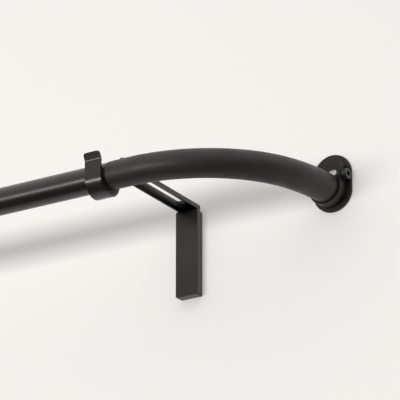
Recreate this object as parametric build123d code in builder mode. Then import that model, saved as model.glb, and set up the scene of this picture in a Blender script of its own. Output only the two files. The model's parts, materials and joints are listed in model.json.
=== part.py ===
"""Extendable curtain rod with return bends, two wall brackets and two wall sockets.

Frame: millimetres. X runs along the wall, +Y goes into the wall (its face is Y = 0), +Z is up.
The origin is the middle of the right bracket's screw holes, on the wall. The right-hand side
is modelled, and the left-hand side is its mirror image about the middle of the rod.
"""
from build123d import *
from math import asin, cos, degrees, radians, sin
import os

# ---- overall layout -------------------------------------------------------------------------
bracket_span = 900.0            # between the two bracket centrelines
rod_projection = 151.0          # rod axis in front of the wall
rod_rise = 26.6                 # rod axis above the middle of the bracket's screw holes
socket_offset = 150.0           # wall socket outside its bracket, centre to centre
connector_lift = 6.5            # how much higher a connector ends than it starts

# ---- rod ------------------------------------------------------------------------------------
rod_od = 25.0
rod_wall = 1.0
tube_space = 1.5                # between the bore of an outer tube and the inner tube
inner_wall = 1.0
tube_gap = 120.0                # length of inner tube that shows between the two outer tubes
inner_insertion = 220.0         # length of inner tube inside each outer tube
bush_collar = 4.0
bush_sleeve = 16.0
bush_lip = 0.5                  # collar's radius over the tube's
guide_length = 14.0

# ---- curved connector -----------------------------------------------------------------------
connector_step = 0.4            # connector's radius over the rod's, where they meet
connector_flare = 2.4           # how much wider in diameter the connector is at the wall
connector_wall = 1.6
connector_rim = 1.3             # rounding of the open ends
connector_gap = 1.3             # between a holder and the end of the connector
bend_radius = 117.1
bend_angle = 76.7               # the main bend; the rest of the quarter turn is gentler
connector_run_out = 9.2         # straight end in the wall socket
connector_end_gap = 1.3         # in front of the wall flange
plug_in_connector = 20.0
plug_in_rod = 32.0

# ---- rod holder -----------------------------------------------------------------------------
strap_width = 16.7
strap_thickness = 2.0
holder_liner_wall = 1.4         # at the rod's sides
hook_drop = 3.0                 # centre of the hook's round below the rod axis
hook_front_height = 10.8        # start of the lip above the rod axis
lip_length = 6.6
lip_angle = 26.0                # outwards from upright
lip_corner = 3.0
lip_radius = 5.0
strap_bend_radius = 3.0         # centreline of the bend between the hook and its tongue
tongue_length = 29.2
liner_side_height = 5.0         # liner's upright sides above the rod axis

# ---- bracket --------------------------------------------------------------------------------
sheet = 1.5
plate_width = 23.7
plate_height = 83.4
plate_depth = 3.6
plate_corner = 1.6
plate_rounding = 0.5            # of the tray's rim, which leaves a seam under the cover
wall_hole_spacing = 50.0
wall_hole_diameter = 5.0
cover_depth = 5.3
cover_wall = 1.4
cover_rounding = 0.6
cover_top_gap = 0.6             # under the arm
clip_length = 12.0
clip_thickness = 0.9
arm_width = 21.0
arm_height = 4.1
arm_clearance = 4.5             # from the top of the rod to the underside of the arm
arm_setback = 2.4               # arm's front end behind the front of the holder's back leg
arm_corner = 1.2
arm_slot_width = 8.2
slot_corner = 1.5
arm_slot_wall_end = 17.0        # distance from the wall
arm_slot_front_web = 9.5        # web left in front of the slot
slot_rim_height = 2.1
slot_rim_thickness = 1.4
tooth_pitch = 2.2
tooth_depth = 0.6
tooth_reach = 2.6               # out from the rim of the slot

# ---- screws ---------------------------------------------------------------------------------
screw_diameter = 6.0
screw_thread_depth = 0.35
holder_head_diameter = 10.5
holder_head_height = 3.2
washer_thickness = 1.2
washer_diameter = 12.0
nut_side = 14.0
nut_thickness = 4.0
screw_tail = 2.8                # of the holder screw above its nut
clamp_head_diameter = 10.0
clamp_head_height = 4.8
clamp_head_gap = 0.8            # bare thread between the head and the cradle
hex_key = 5.0                   # across flats
holder_hex_key = 4.0
hex_depth = 2.8
holder_hex_depth = 2.0
pad_relief = 0.5                # pad's radius under the screw's
pad_length = 2.4
pad_pin_diameter = 3.4
pad_pin_length = 1.4

# ---- wall socket ----------------------------------------------------------------------------
flange_margin = 3.6             # half width over the cradle's
flange_offset = 1.45            # flange's centre outside the cradle's
flange_height = 55.3
flange_thickness = 2.2
flange_rounding = 0.7
flange_above_cradle = 7.45      # centre to centre
flange_slot_length = 9.5
flange_slot_width = 6.0
flange_slot_above = 10.4        # slotted screw hole above the flange's centre
flange_hole_below = 11.0        # round screw hole below the flange's centre
flange_hole_diameter = 6.0
cradle_wall = 1.2
cradle_depth = 11.6
cradle_side_height = 21.7       # above the cradle's axis
cradle_liner = 0.5
connector_play = 0.35           # radial, for the slight slope of the connector's end
cradle_liner_side = 2.0
clamp_above_cradle = 10.9       # clamp screw axis above the cradle's axis

# ---- clearances -----------------------------------------------------------------------------
running_fit = 0.05              # radial, between pieces that turn or slide
rest_fit = 0.1                  # between pieces that only lie against each other
screw_hole_fit = 0.25           # radial, of a screw's clearance hole

# ---- places worked out from the sizes -------------------------------------------------------
rod_radius = rod_od / 2
inner_od = rod_od - 2 * rod_wall - 2 * tube_space
connector_start_od = rod_od + 2 * connector_step
connector_end_od = connector_start_od + connector_flare
rod_y = -rod_projection
rod_z = rod_rise
mid_x = -bracket_span / 2
tube_mouth_x = mid_x + tube_gap / 2
connector_x = strap_width / 2 + connector_gap
arm_bottom = rod_z + rod_radius + arm_clearance
arm_top = arm_bottom + arm_height
web_bottom = arm_top - sheet
hook_z = rod_z - hook_drop
hook_inner_radius = rod_radius + rest_fit + holder_liner_wall + rest_fit
hook_radius = hook_inner_radius + strap_thickness       # outside of the strap
hook_mid_radius = hook_radius - strap_thickness / 2
tongue_z = web_bottom - rest_fit - strap_thickness / 2
tongue_bottom = tongue_z - strap_thickness / 2
nut_bottom = arm_top + slot_rim_height + rest_fit
leg_width = arm_width - 2 * sheet
leg_bottom = -plate_height / 2 + sheet + rest_fit
back_leg_y = rod_y + hook_mid_radius
arm_front_y = back_leg_y - strap_thickness / 2 + arm_setback
leg_y = -sheet - rest_fit
holder_screw_y = back_leg_y + strap_bend_radius + tongue_length / 2
liner_bore = rod_radius + rest_fit
screw_radius = screw_diameter / 2
pad_diameter = 2 * (screw_radius - pad_relief)

lift_angle = degrees(asin(connector_lift / rod_projection))
lift_length = rod_projection / cos(radians(lift_angle))
bend_depth = bend_radius * (1 - cos(radians(bend_angle)))
end_depth = lift_length - flange_thickness - connector_end_gap
ease_radius = (end_depth - connector_run_out - bend_depth) / cos(radians(bend_angle))
bend_reach = bend_radius * sin(radians(bend_angle)) + ease_radius * (1 - sin(radians(bend_angle)))
run_in = socket_offset - bend_reach - connector_x

cradle_z = rod_z + connector_lift * (1 - (flange_thickness + cradle_depth / 2) / rod_projection)
cradle_bore = connector_end_od / 2 + connector_play
cradle_inner = cradle_bore + cradle_liner + rest_fit
cradle_outer = cradle_inner + cradle_wall
flange_width = 2 * (cradle_outer + flange_margin)
flange_x = socket_offset + flange_offset
flange_z = cradle_z + flange_above_cradle
clamp_y = -flange_thickness - cradle_depth / 2
clamp_z = cradle_z + clamp_above_cradle
cradle_side_x = socket_offset + cradle_outer
tube_side = (connector_end_od / 2) ** 2 - (clamp_above_cradle - pad_diameter / 2) ** 2
pad_face_x = socket_offset + tube_side ** 0.5 + rest_fit

parts = []


def piece(shape, label):
    """Name a finished piece and keep it for export."""
    shape.label = label
    parts.append(shape)
    return shape


def mirrored(shape, label):
    """The left-hand copy of a right-hand piece."""
    with BuildPart() as copy:
        mirror(shape, about=Plane.YZ.offset(mid_x))
    return piece(copy.part, label)


def both(shape, name):
    """A right-hand piece and its mirror image."""
    piece(shape, name + "_right")
    mirrored(shape, name + "_left")


def across(x):
    """Plane across the rod at x, with its own x along Y and its y along Z."""
    return Plane(origin=(x, 0, 0), x_dir=(0, 1, 0), z_dir=(1, 0, 0))


def facing_wall(y):
    """Plane parallel to the wall at y, with its own x along X and its y along Z."""
    return Plane(origin=(0, y, 0), x_dir=(1, 0, 0), z_dir=(0, -1, 0))


def level(z):
    """Horizontal plane at z."""
    return Plane.XY.offset(z)


# ---- bracket --------------------------------------------------------------------------------
def wall_plate():
    """Shallow tray that is screwed to the wall, open towards the room."""
    with BuildPart() as plate:
        with BuildSketch(facing_wall(0)):
            RectangleRounded(plate_width, plate_height, plate_corner)
        extrude(amount=plate_depth)
        fillet(plate.faces().sort_by(Axis.Y)[0].edges(), plate_rounding)
        with BuildSketch(facing_wall(-sheet)):
            Rectangle(plate_width - 2 * sheet, plate_height - 2 * sheet)
        extrude(amount=plate_depth, mode=Mode.SUBTRACT)
        with BuildSketch(facing_wall(-sheet)):
            with Locations((0, plate_height / 2)):
                Rectangle(leg_width + 2 * rest_fit, 4 * sheet)
        extrude(amount=plate_depth, mode=Mode.SUBTRACT)
        with BuildSketch(facing_wall(0)):
            with GridLocations(1, wall_hole_spacing, 1, 2):
                Circle(wall_hole_diameter / 2)
        extrude(amount=sheet, mode=Mode.SUBTRACT)
    return plate.part


def bracket_arm():
    """Channel, open downwards, with a slot for the holder and a leg down the wall plate."""
    arm_length = leg_y - arm_front_y
    slot_length = -arm_front_y - arm_slot_front_web - arm_slot_wall_end
    slot_y = -arm_slot_wall_end - slot_length / 2
    with BuildPart() as arm:
        with BuildSketch(facing_wall(leg_y)):
            with Locations((0, arm_bottom + arm_height / 2)):
                Rectangle(arm_width, arm_height)
            with Locations((0, arm_bottom + (arm_height - sheet) / 2)):
                Rectangle(leg_width, arm_height - sheet, mode=Mode.SUBTRACT)
        extrude(amount=arm_length)
        side_corners = arm.edges().filter_by(Axis.X).filter_by(lambda e: e.length < 2 * sheet)
        fillet(side_corners.group_by(Axis.Z)[0], arm_corner)
        with BuildSketch(facing_wall(leg_y)):
            with Locations((0, (arm_top - leg_bottom) / 2 + leg_bottom)):
                Rectangle(leg_width, arm_top - leg_bottom)
        extrude(amount=sheet)
        fillet(arm.edges().filter_by(Axis.X).group_by(Axis.Z)[-1].sort_by(Axis.Y)[-1], sheet)
        with BuildSketch(facing_wall(0)):
            with GridLocations(1, wall_hole_spacing, 1, 2):
                Circle(wall_hole_diameter / 2)
        extrude(amount=3 * sheet, mode=Mode.SUBTRACT)
        with BuildSketch(level(arm_top)):
            with Locations((0, slot_y)):
                rim = 2 * slot_rim_thickness
                RectangleRounded(arm_slot_width + rim, slot_length + rim, slot_corner + rim / 2)
        extrude(amount=slot_rim_height)
        with BuildSketch(level(web_bottom)):
            with Locations((0, slot_y)):
                RectangleRounded(arm_slot_width, slot_length, slot_corner)
        extrude(amount=arm_height + slot_rim_height, mode=Mode.SUBTRACT)
        tooth_count = int((slot_length - 2 * tooth_pitch) / tooth_pitch)
        for side in (-1, 1):
            near = side * arm_slot_width / 2
            with BuildSketch(across(near)):
                with Locations((slot_y, web_bottom)):
                    with GridLocations(tooth_pitch, 1, tooth_count, 1):
                        Polygon((-0.5 * tooth_pitch, 0), (0, tooth_depth), (0.5 * tooth_pitch, 0),
                                align=(Align.CENTER, Align.MIN))
            extrude(amount=side * tooth_reach, mode=Mode.SUBTRACT)
    return arm.part


def leg_cover():
    """Box-shaped cover that clips over the leg and hides the wall screws."""
    top = arm_bottom - cover_top_gap
    bottom = -plate_height / 2
    height = top - bottom
    middle = (top + bottom) / 2
    with BuildPart() as cover:
        with BuildSketch(facing_wall(-plate_depth)):
            with Locations((0, middle)):
                RectangleRounded(plate_width, height, plate_corner)
        extrude(amount=cover_depth)
        fillet(cover.faces().sort_by(Axis.Y)[0].edges(), cover_rounding)
        with BuildSketch(facing_wall(-plate_depth)):
            with Locations((0, middle)):
                Rectangle(plate_width - 2 * cover_wall, height - 2 * cover_wall)
        extrude(amount=cover_depth - cover_wall, mode=Mode.SUBTRACT)
        clip_x = plate_width / 2 - sheet - rest_fit - clip_thickness / 2
        with BuildSketch(facing_wall(-sheet - rest_fit)):
            with GridLocations(2 * clip_x, wall_hole_spacing / 2, 2, 2):
                Rectangle(clip_thickness, clip_length)
        extrude(amount=plate_depth + cover_depth - sheet - cover_wall)
    return cover.part


# ---- rod holder -----------------------------------------------------------------------------
def rod_holder():
    """Strap bent into a hook with a lip in front and a tongue that lies in the arm."""
    front_leg_y = rod_y - hook_mid_radius
    lip_z = rod_z + hook_front_height
    lean = radians(lip_angle)
    lip_turn = (front_leg_y - lip_radius * (1 - cos(lean)), lip_z + lip_radius * sin(lean))
    half_turn = (front_leg_y - lip_radius * (1 - cos(lean / 2)), lip_z + lip_radius * sin(lean / 2))
    lip_top = (lip_turn[0] - lip_length * sin(lean), lip_turn[1] + lip_length * cos(lean))
    tongue_start = (back_leg_y + strap_bend_radius, tongue_z)
    tongue_end = (tongue_start[0] + tongue_length, tongue_z)
    shoulder = strap_bend_radius * (1 - cos(radians(45)))
    with BuildPart() as holder:
        with BuildSketch(across(-strap_width / 2)):
            with BuildLine():
                Line(tongue_end, tongue_start)
                ThreePointArc(tongue_start, (back_leg_y + shoulder, tongue_z - shoulder),
                              (back_leg_y, tongue_z - strap_bend_radius))
                Line((back_leg_y, tongue_z - strap_bend_radius), (back_leg_y, hook_z))
                ThreePointArc((back_leg_y, hook_z), (rod_y, hook_z - hook_mid_radius),
                              (front_leg_y, hook_z))
                Line((front_leg_y, hook_z), (front_leg_y, lip_z))
                ThreePointArc((front_leg_y, lip_z), half_turn, lip_turn)
                Line(lip_turn, lip_top)
            trace(line_width=strap_thickness)
        extrude(amount=strap_width)
        short = holder.edges().filter_by(lambda e: abs(e.length - strap_thickness) < 0.01)
        fillet(short.filter_by(lambda e: e.center().Z > lip_turn[1] + 0.7 * lip_length * cos(lean)
                               and e.center().Y < rod_y), lip_corner)
        fillet(short.filter_by(lambda e: e.center().Y > tongue_end[0] - 0.01), lip_corner)
        with BuildSketch(level(tongue_z - strap_thickness)):
            with Locations((0, holder_screw_y)):
                Circle(screw_radius + screw_hole_fit)
        extrude(amount=2 * strap_thickness, mode=Mode.SUBTRACT)
    return holder.part


def holder_liner():
    """Plastic saddle between the hook and the rod."""
    outer = hook_inner_radius - rest_fit
    top = rod_z + liner_side_height
    with BuildPart() as liner:
        with BuildSketch(across(-strap_width / 2 + rest_fit)):
            with Locations((rod_y, hook_z)):
                Circle(outer)
            with Locations((rod_y, (top + hook_z) / 2)):
                Rectangle(2 * outer, top - hook_z)
            with Locations((rod_y, rod_z)):
                Circle(liner_bore, mode=Mode.SUBTRACT)
            with Locations((rod_y, rod_z + hook_radius)):
                Rectangle(2 * liner_bore, 2 * hook_radius, mode=Mode.SUBTRACT)
        extrude(amount=strap_width - 2 * rest_fit)
    return liner.part


def holder_screw():
    """Pan-head screw from below, through the tongue and the slot, into the nut."""
    head_top = tongue_bottom - 2 * rest_fit - washer_thickness
    with BuildPart() as screw:
        with BuildSketch(level(head_top)):
            with Locations((0, holder_screw_y)):
                Circle(holder_head_diameter / 2)
        extrude(amount=-holder_head_height)
        fillet(screw.edges().group_by(Axis.Z)[0], holder_head_height / 3)
        with BuildSketch(level(head_top)):
            with Locations((0, holder_screw_y)):
                Circle(screw_radius)
        extrude(amount=nut_bottom + nut_thickness + screw_tail - head_top)
        chamfer(screw.edges().group_by(Axis.Z)[-1], screw_thread_depth)
        with BuildSketch(level(head_top - holder_head_height)):
            with Locations((0, holder_screw_y)):
                RegularPolygon(holder_hex_key / 2, 6, major_radius=False)
        extrude(amount=holder_hex_depth, mode=Mode.SUBTRACT)
    return screw.part


def holder_washer():
    """Washer between the screw's head and the tongue."""
    with BuildPart() as washer:
        with BuildSketch(level(tongue_bottom - rest_fit)):
            with Locations((0, holder_screw_y)):
                Circle(washer_diameter / 2)
                Circle(screw_radius + running_fit, mode=Mode.SUBTRACT)
        extrude(amount=-washer_thickness)
    return washer.part


def holder_nut():
    """Square nut that bears on the rim of the slot."""
    with BuildPart() as nut:
        with BuildSketch(level(nut_bottom)):
            with Locations((0, holder_screw_y)):
                RectangleRounded(nut_side, nut_side, slot_corner)
                Circle(screw_radius + running_fit, mode=Mode.SUBTRACT)
        extrude(amount=nut_thickness)
        chamfer(nut.faces().sort_by(Axis.Z)[-1].outer_wire().edges(), slot_rim_thickness / 2)
    return nut.part


# ---- wall socket ----------------------------------------------------------------------------
def wall_flange():
    """Oblong plate with a slotted and a round screw hole."""
    with BuildPart() as flange:
        with BuildSketch(facing_wall(0)):
            with Locations((flange_x, flange_z)):
                SlotOverall(flange_height, flange_width, rotation=90)
        extrude(amount=flange_thickness)
        fillet(flange.faces().sort_by(Axis.Y)[0].edges(), flange_rounding)
        with BuildSketch(facing_wall(0)):
            with Locations((flange_x, flange_z + flange_slot_above)):
                SlotOverall(flange_slot_length, flange_slot_width)
            with Locations((flange_x, flange_z - flange_hole_below)):
                Circle(flange_hole_diameter / 2)
        extrude(amount=flange_thickness, mode=Mode.SUBTRACT)
    return flange.part


def rod_cradle():
    """Strap bent into a U, open at the top, that stands out from the flange."""
    with BuildPart() as cradle:
        with BuildSketch(facing_wall(-flange_thickness)):
            with Locations((socket_offset, cradle_z)):
                Circle(cradle_outer)
                Rectangle(2 * cradle_outer, cradle_side_height, align=(Align.CENTER, Align.MIN))
                Circle(cradle_inner, mode=Mode.SUBTRACT)
                Rectangle(2 * cradle_inner, 2 * cradle_side_height,
                          align=(Align.CENTER, Align.MIN), mode=Mode.SUBTRACT)
        extrude(amount=cradle_depth)
        with BuildSketch(across(socket_offset)):
            with Locations((clamp_y, clamp_z)):
                Circle(screw_radius + running_fit)
        extrude(amount=2 * cradle_outer, mode=Mode.SUBTRACT)
    return cradle.part


def cradle_liner_piece():
    """Plastic liner in the round of the cradle."""
    with BuildPart() as liner:
        with BuildSketch(facing_wall(-flange_thickness - rest_fit)):
            with Locations((socket_offset, cradle_z)):
                Circle(cradle_inner - rest_fit)
                Rectangle(2 * (cradle_inner - rest_fit), cradle_liner_side,
                          align=(Align.CENTER, Align.MIN))
                Circle(cradle_bore, mode=Mode.SUBTRACT)
                Rectangle(2 * cradle_bore, cradle_inner,
                          align=(Align.CENTER, Align.MIN), mode=Mode.SUBTRACT)
                with Locations((0, cradle_liner_side)):
                    Rectangle(2 * cradle_outer, cradle_outer,
                              align=(Align.CENTER, Align.MIN), mode=Mode.SUBTRACT)
        extrude(amount=cradle_depth - 2 * rest_fit)
    return liner.part


def clamp_screw():
    """Socket cap screw through the cradle's side, with a pin at its tip for the pad."""
    shank_start = pad_face_x + pad_length + rest_fit
    head_start = cradle_side_x + clamp_head_gap
    shank_length = head_start - shank_start
    with BuildPart() as screw:
        with BuildSketch(across(shank_start)):
            with Locations((clamp_y, clamp_z)):
                Circle(screw_radius)
        extrude(amount=shank_length)
        with BuildSketch(across(shank_start)):
            with Locations((clamp_y, clamp_z)):
                Circle(pad_pin_diameter / 2)
        extrude(amount=-pad_pin_length)
        with BuildSketch(across(head_start)):
            with Locations((clamp_y, clamp_z)):
                Circle(clamp_head_diameter / 2)
        extrude(amount=clamp_head_height)
        chamfer(screw.edges().group_by(Axis.X)[-1], screw_thread_depth)
        with BuildSketch(across(head_start + clamp_head_height)):
            with Locations((clamp_y, clamp_z)):
                RegularPolygon(hex_key / 2, 6, major_radius=False)
        extrude(amount=-hex_depth, mode=Mode.SUBTRACT)
    return screw.part


def clamp_pad():
    """Tip that the clamp screw turns in and presses on the connector."""
    with BuildPart() as pad:
        with BuildSketch(across(pad_face_x)):
            with Locations((clamp_y, clamp_z)):
                Circle(pad_diameter / 2)
        extrude(amount=pad_length)
        with BuildSketch(across(pad_face_x + pad_length)):
            with Locations((clamp_y, clamp_z)):
                Circle(pad_pin_diameter / 2 + running_fit)
        extrude(amount=-pad_pin_length, mode=Mode.SUBTRACT)
    return pad.part


# ---- rod ------------------------------------------------------------------------------------
def curved_connector():
    """Bent tube from the end of the rod to the wall, a little wider towards the wall.

    The bend is drawn in the plane through the rod axis that rises towards the wall.
    """
    slope = Vector(0, cos(radians(lift_angle)), sin(radians(lift_angle)))
    bend_plane = Plane(origin=(connector_x, rod_y, rod_z), x_dir=(1, 0, 0),
                       z_dir=Vector(1, 0, 0).cross(slope))

    def on_bend(angle):
        return (run_in + bend_radius * sin(radians(angle)),
                bend_radius * (1 - cos(radians(angle))))

    def on_ease(angle):
        start = on_bend(bend_angle)
        return (start[0] + ease_radius * (sin(radians(angle)) - sin(radians(bend_angle))),
                start[1] + ease_radius * (cos(radians(bend_angle)) - cos(radians(angle))))

    bend_end = on_ease(90)
    socket_end = (bend_end[0], bend_end[1] + connector_run_out)
    start_face = Plane(origin=bend_plane.origin, z_dir=bend_plane.x_dir)
    end_face = Plane(origin=bend_plane.from_local_coords(socket_end), z_dir=slope)

    with BuildPart() as connector:
        for shrink, mode in ((0, Mode.ADD), (connector_wall, Mode.SUBTRACT)):
            with BuildLine(bend_plane):
                Line((0, 0), (run_in, 0))
                ThreePointArc((run_in, 0), on_bend(bend_angle / 2), on_bend(bend_angle))
                ThreePointArc(on_bend(bend_angle), on_ease((bend_angle + 90) / 2), bend_end)
                Line(bend_end, socket_end)
            with BuildSketch(start_face):
                Circle(connector_start_od / 2 - shrink)
            with BuildSketch(end_face):
                Circle(connector_end_od / 2 - shrink)
            sweep(multisection=True, mode=mode)
        end_rings = connector.faces().filter_by(GeomType.PLANE)
        fillet([ring.outer_wire().edge() for ring in end_rings], connector_rim)
    return connector.part


def connector_plug():
    """Stepped plug that joins the rod and the curved connector."""
    with BuildPart() as plug:
        with BuildSketch(across(connector_x)):
            with Locations((rod_y, rod_z)):
                Circle(connector_start_od / 2 - connector_wall - rest_fit)
        extrude(amount=plug_in_connector)
        with BuildSketch(across(connector_x)):
            with Locations((rod_y, rod_z)):
                Circle(rod_radius - rod_wall - rest_fit)
        extrude(amount=-plug_in_rod)
        chamfer(plug.edges().group_by(Axis.X)[0] + plug.edges().group_by(Axis.X)[-1], rod_wall)
    return plug.part


def rod_tube():
    """Outer tube of the rod, on the right-hand side."""
    with BuildPart() as tube:
        with BuildSketch(across(tube_mouth_x)):
            with Locations((rod_y, rod_z)):
                Circle(rod_radius)
                Circle(rod_radius - rod_wall, mode=Mode.SUBTRACT)
        extrude(amount=connector_x - tube_mouth_x)
    return tube.part


def mouth_bush():
    """Collar in the mouth of an outer tube, which the inner tube runs through."""
    with BuildPart() as bush:
        with BuildSketch(across(tube_mouth_x)):
            with Locations((rod_y, rod_z)):
                Circle(rod_radius + bush_lip)
        extrude(amount=-bush_collar)
        fillet(bush.edges().group_by(Axis.X)[0], bush_collar / 3)
        with BuildSketch(across(tube_mouth_x)):
            with Locations((rod_y, rod_z)):
                Circle(rod_radius - rod_wall - rest_fit)
        extrude(amount=bush_sleeve)
        with BuildSketch(across(tube_mouth_x - bush_collar)):
            with Locations((rod_y, rod_z)):
                Circle(inner_od / 2 + running_fit)
        extrude(amount=bush_collar + bush_sleeve, mode=Mode.SUBTRACT)
    return bush.part


def inner_tube():
    """Tube that joins the two outer tubes and slides in the left one."""
    length = tube_gap + 2 * inner_insertion
    with BuildPart() as tube:
        with BuildSketch(across(mid_x - length / 2)):
            with Locations((rod_y, rod_z)):
                Circle(inner_od / 2)
                Circle(inner_od / 2 - inner_wall, mode=Mode.SUBTRACT)
        extrude(amount=length)
    return tube.part


def inner_guide():
    """Plug in the right-hand end of the inner tube, which centres it in the outer tube."""
    end_x = mid_x + tube_gap / 2 + inner_insertion
    with BuildPart() as guide:
        with BuildSketch(across(end_x)):
            with Locations((rod_y, rod_z)):
                Circle(rod_radius - rod_wall - running_fit)
        extrude(amount=guide_length)
        chamfer(guide.edges().group_by(Axis.X)[-1], rod_wall)
        with BuildSketch(across(end_x)):
            with Locations((rod_y, rod_z)):
                Circle(inner_od / 2 - inner_wall - rest_fit)
        extrude(amount=-guide_length)
    return guide.part


both(wall_plate(), "wall_plate")
both(bracket_arm(), "bracket_arm")
both(leg_cover(), "leg_cover")
both(rod_holder(), "rod_holder")
both(holder_liner(), "holder_liner")
both(holder_screw(), "holder_screw")
both(holder_washer(), "holder_washer")
both(holder_nut(), "holder_nut")
both(wall_flange(), "wall_flange")
both(rod_cradle(), "rod_cradle")
both(cradle_liner_piece(), "cradle_liner")
both(clamp_screw(), "clamp_screw")
both(clamp_pad(), "clamp_pad")
both(curved_connector(), "curved_connector")
both(connector_plug(), "connector_plug")
both(rod_tube(), "rod_tube")
both(mouth_bush(), "mouth_bush")
both(inner_guide(), "inner_guide")
piece(inner_tube(), "inner_tube")

os.makedirs("parts", exist_ok=True)
for part in parts:
    export_step(part, f"parts/{part.label}.step")
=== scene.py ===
"""Looks of the curtain rod with brackets: finishes, threaded screws, wall, floor, light and camera.

Everything is in metres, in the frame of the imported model: X along the wall, +Y into the wall,
+Z up, with the origin in the middle of the right-hand bracket's screw holes.
"""
import json
import math

import bpy
from mathutils import Matrix, Vector


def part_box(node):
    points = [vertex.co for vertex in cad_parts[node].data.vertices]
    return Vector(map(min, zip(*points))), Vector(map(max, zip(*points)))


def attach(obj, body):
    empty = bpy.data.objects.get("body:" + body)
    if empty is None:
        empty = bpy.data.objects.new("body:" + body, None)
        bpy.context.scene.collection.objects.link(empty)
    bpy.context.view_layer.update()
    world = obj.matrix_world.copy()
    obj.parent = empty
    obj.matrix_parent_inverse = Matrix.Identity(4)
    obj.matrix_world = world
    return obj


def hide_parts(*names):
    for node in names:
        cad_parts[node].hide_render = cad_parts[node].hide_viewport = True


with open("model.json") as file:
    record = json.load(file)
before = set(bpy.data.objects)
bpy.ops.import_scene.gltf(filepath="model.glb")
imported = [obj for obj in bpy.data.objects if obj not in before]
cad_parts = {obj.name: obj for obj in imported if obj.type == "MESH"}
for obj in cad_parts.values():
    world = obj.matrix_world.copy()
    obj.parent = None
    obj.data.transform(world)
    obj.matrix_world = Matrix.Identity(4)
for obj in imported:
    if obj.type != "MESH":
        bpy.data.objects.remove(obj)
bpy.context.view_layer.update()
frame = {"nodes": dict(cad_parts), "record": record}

SIDES = ("right", "left")
MM = 0.001

# ---- screws, repeated from the model --------------------------------------------------------
SCREW_DIAMETER = 6.0 * MM
THREAD_PITCH = 1.0 * MM
CLAMP_SCREW = {
    "Head Height": 4.8 * MM,
    "Head Edge": 0.35 * MM,
    "Hex": 5.0 * MM,                # across flats
    "Hex Depth": 2.8 * MM,
    "Pin Diameter": 3.4 * MM,
    "Pin Length": 1.4 * MM,
    "Knurl Depth": 0.16 * MM,
}
HOLDER_SCREW = {
    "Head Height": 3.2 * MM,
    "Head Edge": 0.9 * MM,
    "Hex": 4.0 * MM,
    "Hex Depth": 2.0 * MM,
    "Pin Diameter": 5.0 * MM,
    "Pin Length": 0.3 * MM,
    "Knurl Depth": 0.0,
}

# ---- screws, as they look -------------------------------------------------------------------
THREAD_DEPTH = 0.45 * MM
TIP_TAPER = 0.45 * MM
STEPS_ROUND = 72
ROWS_PER_PITCH = 10
KNURL_COUNT = 36
KNURL_ROWS = 12
LOWER_EDGE_SHARE = 0.3              # lower edge of the head, over its upper edge
WELD_DISTANCE = 0.002 * MM
SMOOTH_BELOW = math.radians(30)


# ---- shader helpers -------------------------------------------------------------------------
def feed(tree, socket, value):
    """Another node's output, or a plain value, into a socket."""
    if isinstance(value, bpy.types.NodeSocket):
        tree.links.new(value, socket)
    else:
        socket.default_value = value


def add(tree, kind, inputs=None, **settings):
    """New node in a tree. An input is a number, a colour, or another node's output."""
    node = tree.nodes.new(kind)
    for name, value in settings.items():
        setattr(node, name, value)
    for key, value in (inputs or {}).items():
        feed(tree, node.inputs[key], value)
    return node


def maths(tree, operation, *values):
    """Output of a Math node."""
    return add(tree, "ShaderNodeMath", dict(enumerate(values)), operation=operation).outputs[0]


def spread(tree, value, low, high, to_low=0.0, to_high=1.0):
    """Value between low and high, taken to the range to_low ... to_high and clamped."""
    names = {"Value": value, "From Min": low, "From Max": high, "To Min": to_low, "To Max": to_high}
    return add(tree, "ShaderNodeMapRange", names).outputs["Result"]


def noise(tree, vector, size, detail=2.0, roughness=0.5):
    """Noise whose patches are about size metres across."""
    scale = maths(tree, "DIVIDE", 1.0, size)
    names = {"Vector": vector, "Scale": scale, "Detail": detail, "Roughness": roughness}
    return add(tree, "ShaderNodeTexNoise", names).outputs["Fac"]


def shader_group(name, inputs, outputs):
    """Empty shader node group with float inputs (name: default) and outputs (name: type)."""
    tree = bpy.data.node_groups.new(name, "ShaderNodeTree")
    for label, default in inputs.items():
        socket = tree.interface.new_socket(label, in_out="INPUT", socket_type="NodeSocketFloat")
        socket.default_value = default
    for label, kind in outputs.items():
        tree.interface.new_socket(label, in_out="OUTPUT", socket_type="NodeSocket" + kind)
    return tree, tree.nodes.new("NodeGroupInput"), tree.nodes.new("NodeGroupOutput")


def object_coordinates(tree):
    return add(tree, "ShaderNodeTexCoord").outputs["Object"]


# ---- effects that several finishes share ----------------------------------------------------
def rounded_edges_group():
    """Softly rounded edges, and a mask of where they are."""
    outputs = {"Normal": "Vector", "Edge": "Float"}
    tree, given, out = shader_group("rounded_edges", {"Radius": 0.0004}, outputs)
    bevel = add(tree, "ShaderNodeBevel", {"Radius": given.outputs["Radius"]}, samples=8)
    surface = add(tree, "ShaderNodeNewGeometry")
    vectors = {0: bevel.outputs["Normal"], 1: surface.outputs["Normal"]}
    dot = add(tree, "ShaderNodeVectorMath", vectors, operation="DOT_PRODUCT").outputs["Value"]
    tree.links.new(bevel.outputs["Normal"], out.inputs["Normal"])
    tree.links.new(spread(tree, dot, 0.995, 0.8), out.inputs["Edge"])
    return tree


def coat_grain_group():
    """Skin of a sprayed coat: a fine grain, the orange peel under it and a slow mottle."""
    inputs = {"Grain Size": 0.0003, "Peel Size": 0.0014, "Mottle Size": 0.03, "Peel Share": 0.5}
    tree, given, out = shader_group("coat_grain", inputs, {"Height": "Float", "Mottle": "Float"})
    place = object_coordinates(tree)
    grain = noise(tree, place, given.outputs["Grain Size"], 1.0)
    peel = noise(tree, place, given.outputs["Peel Size"], 1.0, 0.3)
    mixed = add(tree, "ShaderNodeMix", {"Factor": given.outputs["Peel Share"], "A": grain, "B": peel})
    mottle = noise(tree, place, given.outputs["Mottle Size"], 3.0, 0.55)
    tree.links.new(mixed.outputs["Result"], out.inputs["Height"])
    tree.links.new(spread(tree, mottle, 0.3, 0.7), out.inputs["Mottle"])
    return tree


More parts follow.
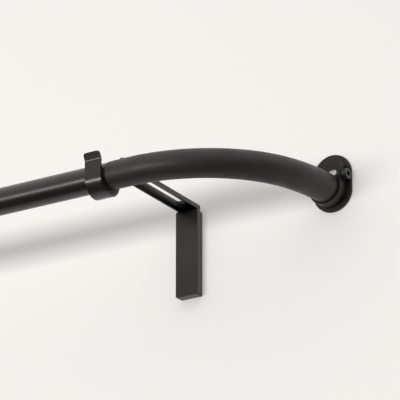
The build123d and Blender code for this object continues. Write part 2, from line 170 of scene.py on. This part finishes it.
def worn_edges_group():
    """Where an edge's coat is rubbed thin: broken up along the edge."""
    inputs = {"Edge": 0.0, "Patch Size": 0.002, "Amount": 0.4}
    tree, given, out = shader_group("worn_edges", inputs, {"Wear": "Float"})
    place = object_coordinates(tree)
    patches = noise(tree, place, given.outputs["Patch Size"], 4.0, 0.65)
    start = maths(tree, "SUBTRACT", 1.0, given.outputs["Amount"])
    raised = maths(tree, "MULTIPLY", given.outputs["Edge"], maths(tree, "ADD", patches, 0.35))
    tree.links.new(spread(tree, raised, start, maths(tree, "ADD", start, 0.2)), out.inputs["Wear"])
    return tree


def handling_group():
    """Smudges from hands, and dust that has settled on what faces up."""
    inputs = {"Smudge Size": 0.018, "Dust Size": 0.0009}
    tree, given, out = shader_group("handling", inputs, {"Smudge": "Float", "Dust": "Float"})
    place = object_coordinates(tree)
    smudge = noise(tree, place, given.outputs["Smudge Size"], 5.0, 0.6)
    tree.links.new(spread(tree, smudge, 0.45, 0.68), out.inputs["Smudge"])
    facing = add(tree, "ShaderNodeNewGeometry").outputs["Normal"]
    up = add(tree, "ShaderNodeSeparateXYZ", {"Vector": facing}).outputs["Z"]
    specks = spread(tree, noise(tree, place, given.outputs["Dust Size"], 3.0, 0.7), 0.48, 0.7)
    lying = spread(tree, up, 0.35, 0.95)
    tree.links.new(maths(tree, "MULTIPLY", specks, lying), out.inputs["Dust"])
    return tree


def drawn_lines_group():
    """Fine lines along X that drawing and sliding leave on a tube."""
    inputs = {"Line Width": 0.00035, "Line Length": 0.12}
    tree, given, out = shader_group("drawn_lines", inputs, {"Height": "Float", "Streak": "Float"})
    place = object_coordinates(tree)
    split = add(tree, "ShaderNodeSeparateXYZ", {"Vector": place})
    ratio = maths(tree, "DIVIDE", given.outputs["Line Width"], given.outputs["Line Length"])
    squeezed = maths(tree, "MULTIPLY", split.outputs["X"], ratio)
    drawn = {"X": squeezed, "Y": split.outputs["Y"], "Z": split.outputs["Z"]}
    lines = add(tree, "ShaderNodeCombineXYZ", drawn)
    fine = noise(tree, lines.outputs["Vector"], given.outputs["Line Width"], 3.0, 0.6)
    tree.links.new(fine, out.inputs["Height"])
    tree.links.new(spread(tree, fine, 0.56, 0.72), out.inputs["Streak"])
    return tree


GROUPS = {
    "edges": rounded_edges_group(),
    "grain": coat_grain_group(),
    "wear": worn_edges_group(),
    "handling": handling_group(),
    "lines": drawn_lines_group(),
}


def effect(tree, name, **inputs):
    """One of the shared effects in a material, with its own values."""
    node = tree.nodes.new("ShaderNodeGroup")
    node.node_tree = GROUPS[name]
    for key, value in inputs.items():
        feed(tree, node.inputs[key.replace("_", " ").title()], value)
    return node


def blend_colours(tree, mask, first, second):
    """Colour that goes from first to second as mask goes from 0 to 1."""
    node = add(tree, "ShaderNodeMix", data_type="RGBA")
    tree.links.new(mask, node.inputs["Factor"])
    for socket, value in ((node.inputs[6], first), (node.inputs[7], second)):
        linked = isinstance(value, bpy.types.NodeSocket)
        feed(tree, socket, value if linked else (*value, 1.0))
    return node.outputs[2]


def new_finish(name, **constants):
    """Material with one Principled BSDF, its constant sockets set on the shader itself."""
    material = bpy.data.materials.new(name)
    material.use_nodes = True
    tree = material.node_tree
    tree.nodes.clear()
    shader = tree.nodes.new("ShaderNodeBsdfPrincipled")
    output = tree.nodes.new("ShaderNodeOutputMaterial")
    tree.links.new(shader.outputs["BSDF"], output.inputs["Surface"])
    for key, value in constants.items():
        shader.inputs[key.replace("_", " ")].default_value = value
    return material, tree, shader


def put_bump(tree, shader, height, strength, distance, normal):
    inputs = {"Height": height, "Strength": strength, "Distance": distance, "Normal": normal}
    bump = add(tree, "ShaderNodeBump", inputs)
    tree.links.new(bump.outputs["Normal"], shader.inputs["Normal"])


# ---- finishes -------------------------------------------------------------------------------
UNDERCOAT = (0.11, 0.10, 0.095)     # where a coat is rubbed through
DUST = (0.20, 0.19, 0.175)
BARE_STEEL = (0.30, 0.29, 0.275)    # where the blacking of a fastener is rubbed through

# dark and light colour that each finish wavers between
BRACKET_COLOURS = (0.0190, 0.0155, 0.0134), (0.0235, 0.0196, 0.0172)
STRAP_COLOURS = (0.0175, 0.0145, 0.0130), (0.0230, 0.0190, 0.0175)
CONNECTOR_COLOURS = (0.0245, 0.0214, 0.0196), (0.0290, 0.0256, 0.0234)
SOCKET_COLOURS = (0.0070, 0.0054, 0.0044), (0.0095, 0.0074, 0.0062)
LACQUER_COLOURS = (0.0105, 0.0080, 0.0068), (0.0140, 0.0110, 0.0094)
PLASTIC_COLOURS = (0.0065, 0.0065, 0.007), (0.0105, 0.0105, 0.011)
FASTENER_COLOURS = (0.050, 0.047, 0.045), (0.085, 0.080, 0.076)


def coated_steel(name, dark, light, roughness, peel, grain, wear, edge_radius, coat):
    """Sprayed coat on steel. dark and light are the two colours it wavers between."""
    material, tree, shader = new_finish(name, Coat_Weight=coat, Coat_Roughness=0.18, IOR=1.42)
    edges = effect(tree, "edges", radius=edge_radius)
    skin = effect(tree, "grain", grain_size=grain, peel_size=peel)
    rubbed = effect(tree, "wear", edge=edges.outputs["Edge"], amount=wear)
    hands = effect(tree, "handling")
    colour = blend_colours(tree, skin.outputs["Mottle"], dark, light)
    colour = blend_colours(tree, rubbed.outputs["Wear"], colour, UNDERCOAT)
    dusty = maths(tree, "MULTIPLY", hands.outputs["Dust"], 0.18)
    colour = blend_colours(tree, dusty, colour, DUST)
    tree.links.new(colour, shader.inputs["Base Color"])
    smudged = spread(tree, hands.outputs["Smudge"], 0.0, 1.0, roughness, roughness * 1.3)
    matted = maths(tree, "ADD", smudged, maths(tree, "MULTIPLY", dusty, 0.8))
    tree.links.new(matted, shader.inputs["Roughness"])
    put_bump(tree, shader, skin.outputs["Height"], 0.16, 0.00004, edges.outputs["Normal"])
    return material


def lacquered_tube(name, scuffed):
    """Glossy lacquer on drawn tube; the inner tube is scuffed by sliding."""
    material, tree, shader = new_finish(name, Coat_Weight=0.12, Coat_Roughness=0.20, IOR=1.5)
    edges = effect(tree, "edges", radius=0.0003)
    skin = effect(tree, "grain", grain_size=0.0005, peel_size=0.0022, mottle_size=0.05, peel_share=0.8)
    lines = effect(tree, "lines")
    hands = effect(tree, "handling", smudge_size=0.03)
    colour = blend_colours(tree, skin.outputs["Mottle"], *LACQUER_COLOURS)
    streak = maths(tree, "MULTIPLY", lines.outputs["Streak"], scuffed)
    colour = blend_colours(tree, streak, colour, UNDERCOAT)
    dusty = maths(tree, "MULTIPLY", hands.outputs["Dust"], 0.15)
    colour = blend_colours(tree, dusty, colour, DUST)
    tree.links.new(colour, shader.inputs["Base Color"])
    smudged = spread(tree, hands.outputs["Smudge"], 0.0, 1.0, 0.33, 0.41)
    matted = maths(tree, "ADD", smudged, maths(tree, "MULTIPLY", streak, 0.3))
    tree.links.new(matted, shader.inputs["Roughness"])
    drawn = maths(tree, "MULTIPLY", lines.outputs["Height"], 0.3)
    height = maths(tree, "ADD", skin.outputs["Height"], drawn)
    put_bump(tree, shader, height, 0.10, 0.00003, edges.outputs["Normal"])
    return material


def moulded_plastic(name):
    """Black moulded plastic with a spark-eroded skin."""
    material, tree, shader = new_finish(name, IOR=1.46)
    edges = effect(tree, "edges", radius=0.0003)
    skin = effect(tree, "grain", grain_size=0.00025, peel_size=0.0007, mottle_size=0.012)
    hands = effect(tree, "handling")
    colour = blend_colours(tree, skin.outputs["Mottle"], *PLASTIC_COLOURS)
    colour = blend_colours(tree, maths(tree, "MULTIPLY", hands.outputs["Dust"], 0.2), colour, DUST)
    tree.links.new(colour, shader.inputs["Base Color"])
    polished = spread(tree, hands.outputs["Smudge"], 0.0, 1.0, 0.62, 0.5)
    tree.links.new(polished, shader.inputs["Roughness"])
    put_bump(tree, shader, skin.outputs["Height"], 0.3, 0.00006, edges.outputs["Normal"])
    return material


def blackened_steel(name):
    """Oil-blackened fasteners: bright where an edge or a thread is rubbed."""
    material, tree, shader = new_finish(name, Metallic=0.85)
    edges = effect(tree, "edges", radius=0.0002)
    skin = effect(tree, "grain", grain_size=0.0002, peel_size=0.001, mottle_size=0.004)
    rubbed = effect(tree, "wear", edge=edges.outputs["Edge"], patch_size=0.0008, amount=0.5)
    colour = blend_colours(tree, skin.outputs["Mottle"], *FASTENER_COLOURS)
    colour = blend_colours(tree, rubbed.outputs["Wear"], colour, BARE_STEEL)
    tree.links.new(colour, shader.inputs["Base Color"])
    uneven = spread(tree, skin.outputs["Mottle"], 0.0, 1.0, 0.30, 0.45)
    tree.links.new(uneven, shader.inputs["Roughness"])
    put_bump(tree, shader, skin.outputs["Height"], 0.2, 0.00003, edges.outputs["Normal"])
    return material


FINISHES = {
    "painted_steel": coated_steel("painted_steel_finish", *BRACKET_COLOURS,
                                  0.36, 0.0013, 0.0003, 0.22, 0.0004, 0.10),
    "satin_lacquered_steel": coated_steel("strap_finish", *STRAP_COLOURS,
                                          0.27, 0.0016, 0.0004, 0.20, 0.0005, 0.25),
    "matte_connector": coated_steel("connector_finish", *CONNECTOR_COLOURS,
                                    0.47, 0.0009, 0.00025, 0.12, 0.0004, 0.0),
    "painted_casting": coated_steel("socket_finish", *SOCKET_COLOURS,
                                    0.46, 0.0020, 0.0004, 0.30, 0.0005, 0.04),
    "glossy_lacquered_tube": lacquered_tube("outer_tube_lacquer", 0.05),
    "black_plastic": moulded_plastic("moulded_plastic_finish"),
    "blackened_screw": blackened_steel("blackened_fastener_finish"),
}
INNER_TUBE_FINISH = lacquered_tube("inner_tube_lacquer", 0.45)

SLOT_OF = {row["node"]: row["material_slot"] for row in frame["record"]["subparts"]}
for name, node in frame["nodes"].items():
    node.material_slots[0].material = FINISHES[SLOT_OF[name]]
frame["nodes"]["inner_tube"].material_slots[0].material = INNER_TUBE_FINISH

# ---- threaded screws ------------------------------------------------------------------------
def shape_group(name, inputs):
    """Empty geometry group with one geometry output. An input's default says whether it is whole."""
    tree = bpy.data.node_groups.new(name, "GeometryNodeTree")
    for label, default in inputs.items():
        kind = "NodeSocketInt" if isinstance(default, int) else "NodeSocketFloat"
        tree.interface.new_socket(label, in_out="INPUT", socket_type=kind).default_value = default
    tree.interface.new_socket("Geometry", in_out="OUTPUT", socket_type="NodeSocketGeometry")
    return tree, tree.nodes.new("NodeGroupInput").outputs, tree.nodes.new("NodeGroupOutput")


def between(tree, share, low, high):
    """Value that goes from low to high as share goes from 0 to 1."""
    return maths(tree, "ADD", low, maths(tree, "MULTIPLY", share, maths(tree, "SUBTRACT", high, low)))


RING_INPUTS = ("From Height", "From Radius", "From Hex", "To Height", "To Radius", "To Hex")


def band_group():
    """Band of faces round an axis, from one ring to the next; a ring is a circle or a hexagon."""
    inputs = {"Rows": 1}
    inputs.update(dict.fromkeys(RING_INPUTS, 0.0))
    inputs.update({"Pitch": THREAD_PITCH, "Thread Depth": 0.0, "Knurl Depth": 0.0})
    tree, given, out = shape_group("screw_band", inputs)
    rows = maths(tree, "ADD", given["Rows"], 1.0)
    sizes = {"Size X": 1.0, "Size Y": 1.0, "Vertices X": STEPS_ROUND + 1, "Vertices Y": rows}
    sheet = add(tree, "GeometryNodeMeshGrid", sizes).outputs["Mesh"]
    position = add(tree, "GeometryNodeInputPosition").outputs[0]
    place = add(tree, "ShaderNodeSeparateXYZ", {"Vector": position})
    turn = maths(tree, "ADD", place.outputs["X"], 0.5)
    along = maths(tree, "ADD", place.outputs["Y"], 0.5)
    angle = maths(tree, "MULTIPLY", turn, math.tau)
    height = between(tree, along, given["From Height"], given["To Height"])
    plain = between(tree, along, given["From Radius"], given["To Radius"])

    sixth = maths(tree, "SUBTRACT", maths(tree, "FLOORED_MODULO", angle, math.pi / 3), math.pi / 6)
    corner = maths(tree, "DIVIDE", 1.0, maths(tree, "COSINE", sixth))
    hexagonal = between(tree, along, given["From Hex"], given["To Hex"])
    radius = maths(tree, "MULTIPLY", plain, between(tree, hexagonal, 1.0, corner))

    length = maths(tree, "ABSOLUTE", maths(tree, "SUBTRACT", given["To Height"], given["From Height"]))
    nearer_end = maths(tree, "MINIMUM", along, maths(tree, "SUBTRACT", 1.0, along))
    to_end = maths(tree, "MULTIPLY", nearer_end, length)
    run_out = maths(tree, "MULTIPLY", given["Pitch"], 0.5)
    fade = maths(tree, "MINIMUM", 1.0, maths(tree, "DIVIDE", to_end, run_out))
    helix = maths(tree, "FRACT", maths(tree, "ADD", maths(tree, "DIVIDE", height, given["Pitch"]), turn))
    groove = maths(tree, "ABSOLUTE", maths(tree, "SUBTRACT", maths(tree, "MULTIPLY", helix, 2.0), 1.0))
    thread = maths(tree, "MULTIPLY", groove, given["Thread Depth"])
    wave = maths(tree, "COSINE", maths(tree, "MULTIPLY", angle, KNURL_COUNT))
    knurl = maths(tree, "MULTIPLY", maths(tree, "SUBTRACT", 0.5, maths(tree, "MULTIPLY", wave, 0.5)),
                  given["Knurl Depth"])
    cut = maths(tree, "MULTIPLY", maths(tree, "ADD", thread, knurl), fade)
    radius = maths(tree, "SUBTRACT", radius, cut)

    across = maths(tree, "MULTIPLY", radius, maths(tree, "COSINE", angle))
    up = maths(tree, "MULTIPLY", radius, maths(tree, "SINE", angle))
    wrapped = add(tree, "ShaderNodeCombineXYZ", {"X": across, "Y": up, "Z": height}).outputs[0]
    moved = add(tree, "GeometryNodeSetPosition", {"Geometry": sheet, "Position": wrapped})
    tree.links.new(moved.outputs[0], out.inputs[0])
    return tree


def screw_group(band):
    """Screw along Z: the face of its head at 0, its tip at Length."""
    inputs = {"Length": 0.02, "Head Diameter": 0.01, "Thread Rows": 100}
    inputs.update(CLAMP_SCREW)
    tree, given, out = shape_group("screw", inputs)
    head = maths(tree, "MULTIPLY", given["Head Diameter"], 0.5)
    key = maths(tree, "MULTIPLY", given["Hex"], 0.5)
    pin = maths(tree, "MULTIPLY", given["Pin Diameter"], 0.5)
    rim = maths(tree, "SUBTRACT", head, given["Head Edge"])
    lower_edge = maths(tree, "MULTIPLY", given["Head Edge"], LOWER_EDGE_SHARE)
    under = maths(tree, "SUBTRACT", given["Head Height"], lower_edge)
    shoulder = maths(tree, "SUBTRACT", given["Length"], given["Pin Length"])
    taper = maths(tree, "SUBTRACT", shoulder, TIP_TAPER)
    shank = SCREW_DIAMETER / 2
    rings = [
        (given["Hex Depth"], 0.0, 1.0),
        (given["Hex Depth"], key, 1.0),
        (0.0, key, 1.0),
        (0.0, rim, 0.0),
        (given["Head Edge"], head, 0.0),
        (under, head, 0.0),
        (given["Head Height"], rim, 0.0),
        (given["Head Height"], shank, 0.0),
        (taper, shank, 0.0),
        (shoulder, shank - TIP_TAPER, 0.0),
        (shoulder, pin, 0.0),
        (given["Length"], pin, 0.0),
        (given["Length"], 0.0, 0.0),
    ]
    knurled, threaded = 4, 7        # bands that start at these rings
    join = add(tree, "GeometryNodeJoinGeometry")
    for index, (start, end) in enumerate(zip(rings, rings[1:])):
        node = add(tree, "GeometryNodeGroup", node_tree=band)
        values = dict(zip(RING_INPUTS, start + end))
        if index == knurled:
            values.update({"Rows": KNURL_ROWS, "Knurl Depth": given["Knurl Depth"]})
        if index == threaded:
            values.update({"Rows": given["Thread Rows"], "Thread Depth": THREAD_DEPTH})
        for label, value in values.items():
            feed(tree, node.inputs[label], value)
        tree.links.new(node.outputs[0], join.inputs[0])
    loose = {"Geometry": join.outputs[0], "Distance": WELD_DISTANCE}
    welded = add(tree, "GeometryNodeMergeByDistance", loose)
    whole = {"Geometry": welded.outputs[0], "Shade Smooth": True}
    faces = add(tree, "GeometryNodeSetShadeSmooth", whole)
    bend = add(tree, "GeometryNodeInputMeshEdgeAngle").outputs["Unsigned Angle"]
    soft = maths(tree, "LESS_THAN", bend, SMOOTH_BELOW)
    creased = {"Geometry": faces.outputs[0], "Shade Smooth": soft}
    edges = add(tree, "GeometryNodeSetShadeSmooth", creased, domain="EDGE")
    real = add(tree, "GeometryNodeRealizeInstances", {"Geometry": edges.outputs[0]})
    material = FINISHES["blackened_screw"]
    coated = add(tree, "GeometryNodeSetMaterial", {"Geometry": real.outputs[0], "Material": material})
    tree.links.new(coated.outputs[0], out.inputs[0])
    return tree


SCREW_TREE = screw_group(band_group())


def threaded_screw(node, body, details, axis, head_low):
    """Screw in place of a CAD one, along an axis. head_low says whether its head is the low end."""
    low, high = (Vector(corner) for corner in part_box(node))
    size = high - low
    length = size[axis]
    values = dict(details)
    values["Length"] = length
    values["Head Diameter"] = size[(axis + 1) % 3]
    values["Thread Rows"] = int(length / THREAD_PITCH * ROWS_PER_PITCH)
    host = bpy.data.objects.new(node + "_host", bpy.data.meshes.new(node + "_host"))
    bpy.context.scene.collection.objects.link(host)
    modifier = host.modifiers.new("screw", "NODES")
    modifier.node_group = SCREW_TREE
    for item in SCREW_TREE.interface.items_tree:
        if item.in_out == "INPUT":
            modifier[item.identifier] = values[item.name]
    view = bpy.context.evaluated_depsgraph_get()
    mesh = bpy.data.meshes.new_from_object(host.evaluated_get(view))
    bpy.data.objects.remove(host)
    direction = Vector((0, 0, 0))
    direction[axis] = 1 if head_low else -1
    start = (low + high) / 2
    start[axis] = low[axis] if head_low else high[axis]
    turned = direction.to_track_quat("Z", "Y").to_matrix().to_4x4()
    mesh.transform(Matrix.Translation(start) @ turned)
    piece = bpy.data.objects.new(node + "_threaded", mesh)
    bpy.context.scene.collection.objects.link(piece)
    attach(piece, body)
    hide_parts(node)


for side in SIDES:
    threaded_screw("clamp_screw_" + side, "clamp_bolt_" + side, CLAMP_SCREW, 0, side == "left")
    threaded_screw("holder_screw_" + side, "holder_bolt_" + side, HOLDER_SCREW, 2, True)

# ---- wall and floor -------------------------------------------------------------------------
WALL_GAP = 0.5 * MM                 # behind the plates, so that the faces don't coincide
FLOOR_LEVEL = -1.6
PALE = (0.86, 0.855, 0.845)
STAGE_LIFT = 0.21                   # glow of the stage paint, added to the light that falls on it


def one_sided_paint(name, colour):
    """Plain matt paint that is seen from the front only, so that it hides nothing from behind."""
    material = bpy.data.materials.new(name)
    material.use_nodes = True
    tree = material.node_tree
    tree.nodes.clear()
    paint = add(tree, "ShaderNodeBsdfDiffuse", {"Color": (*colour, 1.0)})
    lift = add(tree, "ShaderNodeEmission", {"Color": (*colour, 1.0), "Strength": STAGE_LIFT})
    lit = add(tree, "ShaderNodeAddShader", {0: paint.outputs[0], 1: lift.outputs[0]})
    clear = add(tree, "ShaderNodeBsdfTransparent")
    behind = add(tree, "ShaderNodeNewGeometry").outputs["Backfacing"]
    shown = add(tree, "ShaderNodeMixShader", {0: behind, 1: lit.outputs[0], 2: clear.outputs[0]})
    add(tree, "ShaderNodeOutputMaterial", {"Surface": shown.outputs[0]})
    return material


def backdrop(name, corners, material):
    """Flat stage piece that the object's own reflections and shadows ignore."""
    mesh = bpy.data.meshes.new(name)
    mesh.from_pydata(corners, [], [(0, 1, 2, 3)])
    mesh.materials.append(material)
    panel = bpy.data.objects.new(name, mesh)
    bpy.context.scene.collection.objects.link(panel)
    panel.visible_diffuse = False
    panel.visible_glossy = False
    panel.visible_shadow = False


STAGE_PAINT = one_sided_paint("stage_paint", PALE)
WALL_CORNERS = [(-5, WALL_GAP, -4), (4, WALL_GAP, -4), (4, WALL_GAP, 4), (-5, WALL_GAP, 4)]
FLOOR_CORNERS = [(x, y, FLOOR_LEVEL) for x, y in ((-15, -15), (15, -15), (15, 15), (-15, 15))]
backdrop("wall", WALL_CORNERS, STAGE_PAINT)
backdrop("floor", FLOOR_CORNERS, STAGE_PAINT)


# ---- light ----------------------------------------------------------------------------------
LIGHT_COLOUR = (1.0, 0.975, 0.945)
SEEN_LEVEL = 0.88                   # brightness of the room where the camera looks straight at it


def room_light():
    """Soft room: bright above, white wall behind, dark below in front; plain and pale to look at."""
    world = bpy.data.worlds.new("room")
    bpy.context.scene.world = world
    world.use_nodes = True
    tree = world.node_tree
    tree.nodes.clear()
    direction = add(tree, "ShaderNodeTexCoord").outputs["Generated"]
    axes = add(tree, "ShaderNodeSeparateXYZ", {"Vector": direction})
    overhead = spread(tree, axes.outputs["Z"], 0.0, 0.62, 0.05, 1.15)
    wall_side = spread(tree, axes.outputs["Y"], -0.05, 0.15, 0.0, 0.80)
    seen_by_object = maths(tree, "MAXIMUM", overhead, wall_side)
    is_camera = add(tree, "ShaderNodeLightPath").outputs["Is Camera Ray"]
    level = add(tree, "ShaderNodeMix", {"Factor": is_camera, "A": seen_by_object, "B": SEEN_LEVEL})
    seen = {"Color": (*LIGHT_COLOUR, 1.0), "Strength": level.outputs["Result"]}
    background = add(tree, "ShaderNodeBackground", seen)
    add(tree, "ShaderNodeOutputWorld", {"Surface": background.outputs["Background"]})


def soft_light(name, azimuth, elevation, distance, width, height, power):
    """Area light that faces the bracket. Azimuth is to the left of straight in front."""
    side, rise = math.radians(azimuth), math.radians(elevation)
    away = Vector((-math.sin(side) * math.cos(rise), -math.cos(side) * math.cos(rise), math.sin(rise)))
    light = bpy.data.lights.new(name, "AREA")
    light.shape = "RECTANGLE"
    light.size = width
    light.size_y = height
    light.energy = power
    light.color = LIGHT_COLOUR
    lamp = bpy.data.objects.new(name, light)
    facing = away.to_track_quat("Z", "Y").to_matrix().to_4x4()
    lamp.matrix_world = Matrix.Translation(away * distance) @ facing
    lamp.visible_camera = False
    bpy.context.scene.collection.objects.link(lamp)


room_light()
soft_light("key", azimuth=14, elevation=-6.0, distance=2.6, width=2.0, height=0.35, power=36)

# ---- camera ---------------------------------------------------------------------------------
CAMERA_PLACE = Vector((1.5282, -2.4613, -1.0846))
CAMERA_AZIMUTH = math.radians(31.68)
CAMERA_ELEVATION = math.radians(-21.49)
CAMERA_LENS = 300.6

back = Vector((math.sin(CAMERA_AZIMUTH) * math.cos(CAMERA_ELEVATION),
               -math.cos(CAMERA_AZIMUTH) * math.cos(CAMERA_ELEVATION),
               math.sin(CAMERA_ELEVATION)))
camera_data = bpy.data.cameras.new("camera")
camera_data.sensor_width = 36.0
camera_data.lens = CAMERA_LENS
camera_data.clip_start = 0.05
camera_data.clip_end = 100.0
camera = bpy.data.objects.new("camera", camera_data)
aim = (-back).to_track_quat("-Z", "Y").to_matrix().to_4x4()
camera.matrix_world = Matrix.Translation(CAMERA_PLACE) @ aim
bpy.context.scene.collection.objects.link(camera)
bpy.context.scene.camera = camera
bpy.context.scene.view_settings.view_transform = "Standard"
